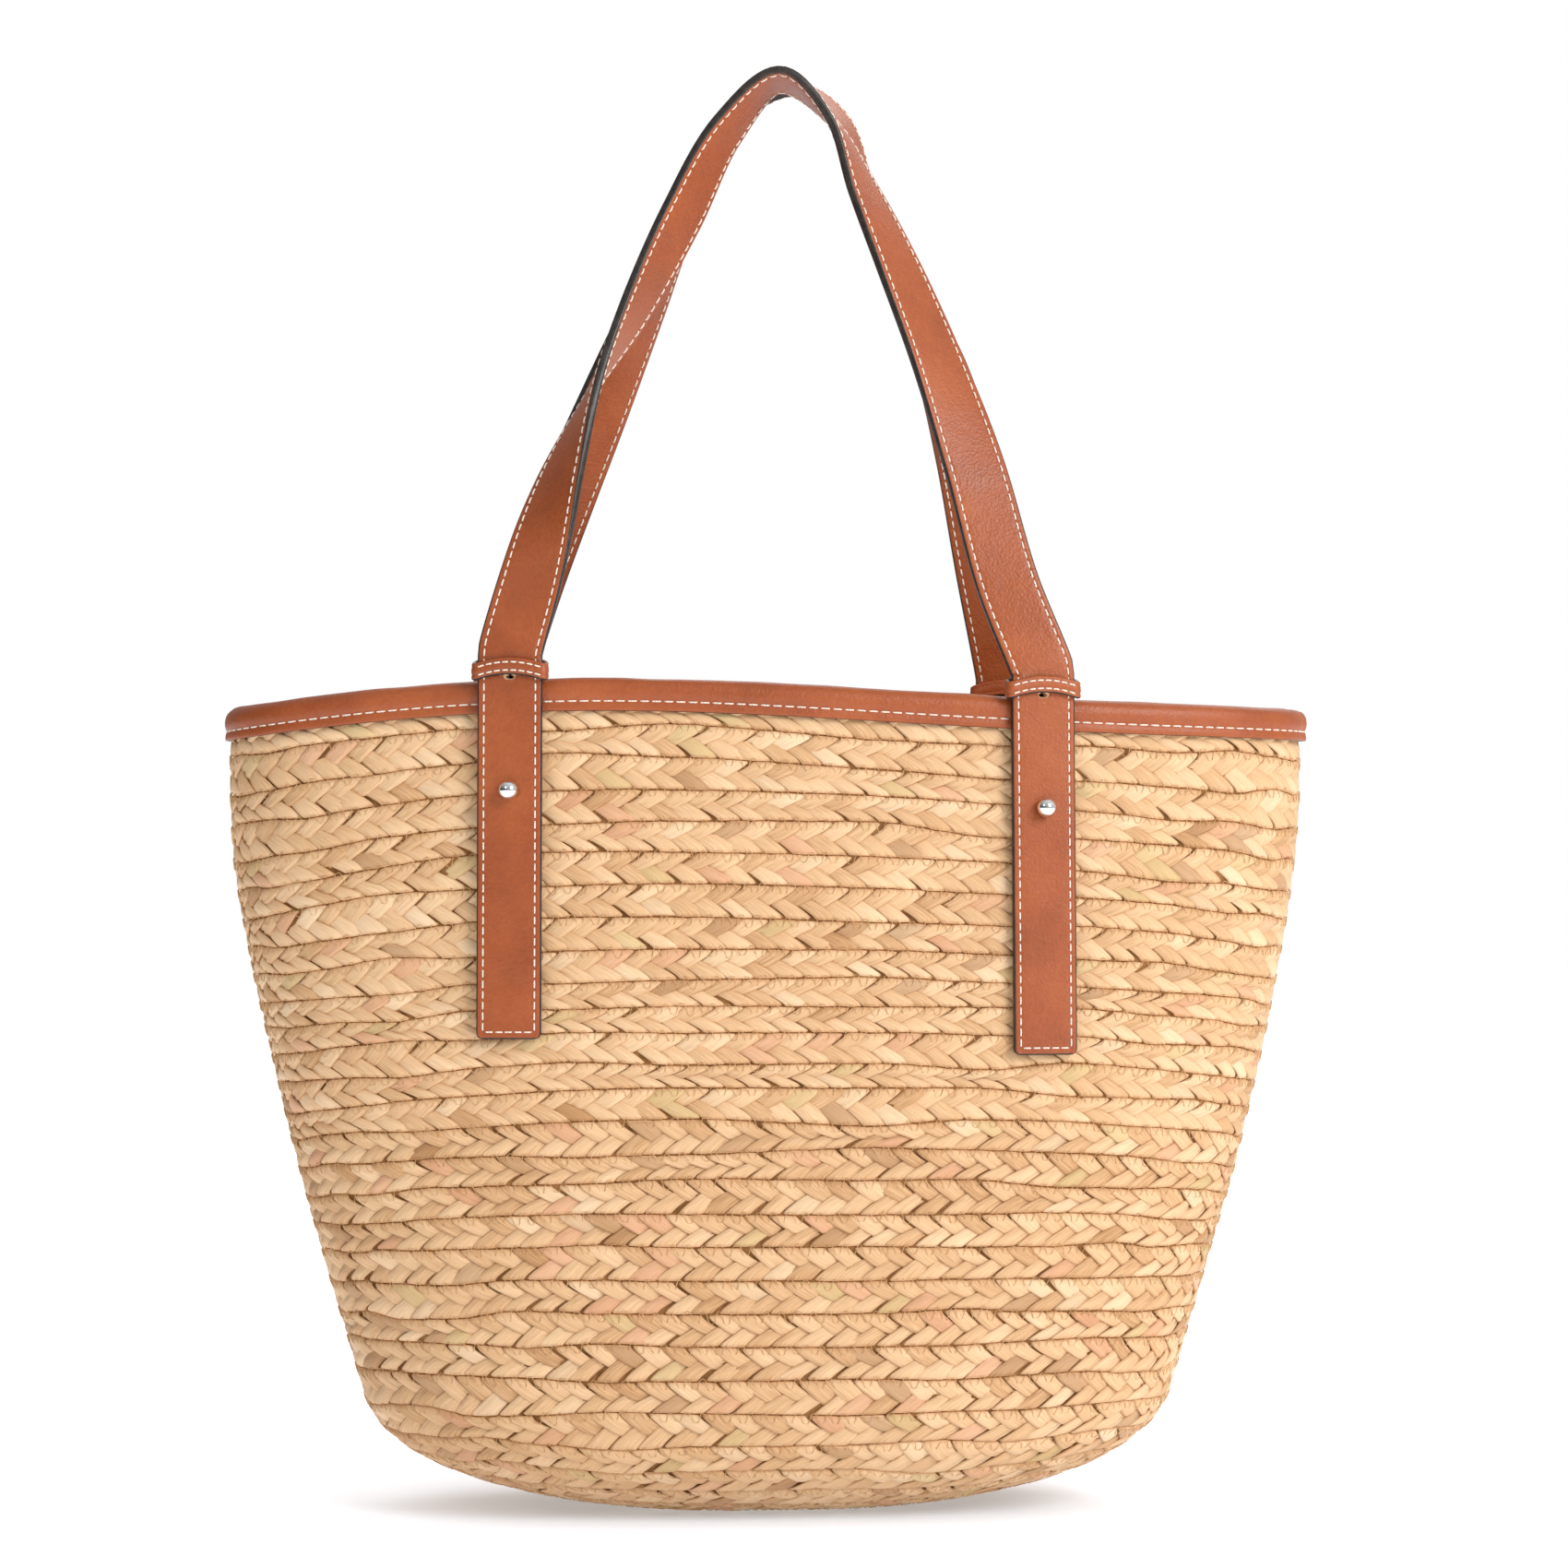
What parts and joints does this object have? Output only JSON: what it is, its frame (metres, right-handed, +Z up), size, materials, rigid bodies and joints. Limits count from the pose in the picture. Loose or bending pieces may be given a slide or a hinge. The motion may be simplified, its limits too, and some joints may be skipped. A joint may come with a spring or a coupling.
{
  "type": "beach bag",
  "caption": "Open-topped sewn straw tote with a padded leather rim and a pair of stitched leather strap handles, buttoned on ball studs.",
  "frame": {"origin": "centre of the flat patch that the bag stands on, on the floor", "axes": "+Z up through the handles, +X along the mouth to the right of the front panel, +Y from the front panel to the rear panel"},
  "size_m": [0.5084, 0.18, 0.6731],
  "materials": {
    "straw": "dry three-strand straw braid, sewn row on row",
    "leather": "fine pebbled tan leather, edges painted black, cream stitching",
    "leather_inside": "matte tan leather",
    "padding_cord": "soft undyed cotton cord",
    "polished_metal": "polished nickel plate"
  },
  "bodies": {
    "bag": {"straw_base": "straw", "straw_lower": "straw", "straw_upper": "straw", "rim_core": "padding_cord", "rim_binding": "leather", "front_left_strap_pass": "leather", "front_left_keeper": "leather", "front_left_tab": "leather_inside", "front_left_stud": "polished_metal", "front_left_screw": "polished_metal", "front_right_strap_pass": "leather", "front_right_keeper": "leather", "front_right_tab": "leather_inside", "front_right_stud": "polished_metal", "front_right_screw": "polished_metal", "rear_left_strap_pass": "leather", "rear_left_keeper": "leather", "rear_left_tab": "leather_inside", "rear_left_stud": "polished_metal", "rear_left_screw": "polished_metal", "rear_right_strap_pass": "leather", "rear_right_keeper": "leather", "rear_right_tab": "leather_inside", "rear_right_stud": "polished_metal", "rear_right_screw": "polished_metal"},
    "front_handle": {"front_handle": "leather"},
    "rear_handle": {"rear_handle": "leather"},
    "front_left_strap_end": {"front_left_strap_end": "leather"},
    "front_right_strap_end": {"front_right_strap_end": "leather"},
    "rear_left_strap_end": {"rear_left_strap_end": "leather"},
    "rear_right_strap_end": {"rear_right_strap_end": "leather"}
  },
  "joints": [
    {"name": "front_handle_swing", "type": "hinge", "parent": "bag", "child": "front_handle", "pos_m": [0, -0.08071, 0.39217], "axis": [0.9995, 0, -0.0328], "range_deg": [0, 140]},
    {"name": "rear_handle_swing", "type": "hinge", "parent": "bag", "child": "rear_handle", "pos_m": [0, 0.08071, 0.39217], "axis": [-0.9995, 0, 0.0328], "range_deg": [0, 140]},
    {"name": "front_left_strap_end_lift", "type": "hinge", "parent": "bag", "child": "front_left_strap_end", "pos_m": [-0.12154, -0.07967, 0.38011], "axis": [-0.9944, 0.1059, 0], "range_deg": [0, 40]},
    {"name": "front_right_strap_end_lift", "type": "hinge", "parent": "bag", "child": "front_right_strap_end", "pos_m": [0.12154, -0.07967, 0.37213], "axis": [-0.9944, -0.1059, 0], "range_deg": [0, 40]},
    {"name": "rear_left_strap_end_lift", "type": "hinge", "parent": "bag", "child": "rear_left_strap_end", "pos_m": [-0.12154, 0.07967, 0.38011], "axis": [0.9944, 0.1059, 0], "range_deg": [0, 40]},
    {"name": "rear_right_strap_end_lift", "type": "hinge", "parent": "bag", "child": "rear_right_strap_end", "pos_m": [0.12154, 0.07967, 0.37213], "axis": [0.9944, -0.1059, 0], "range_deg": [0, 40]}
  ]
}
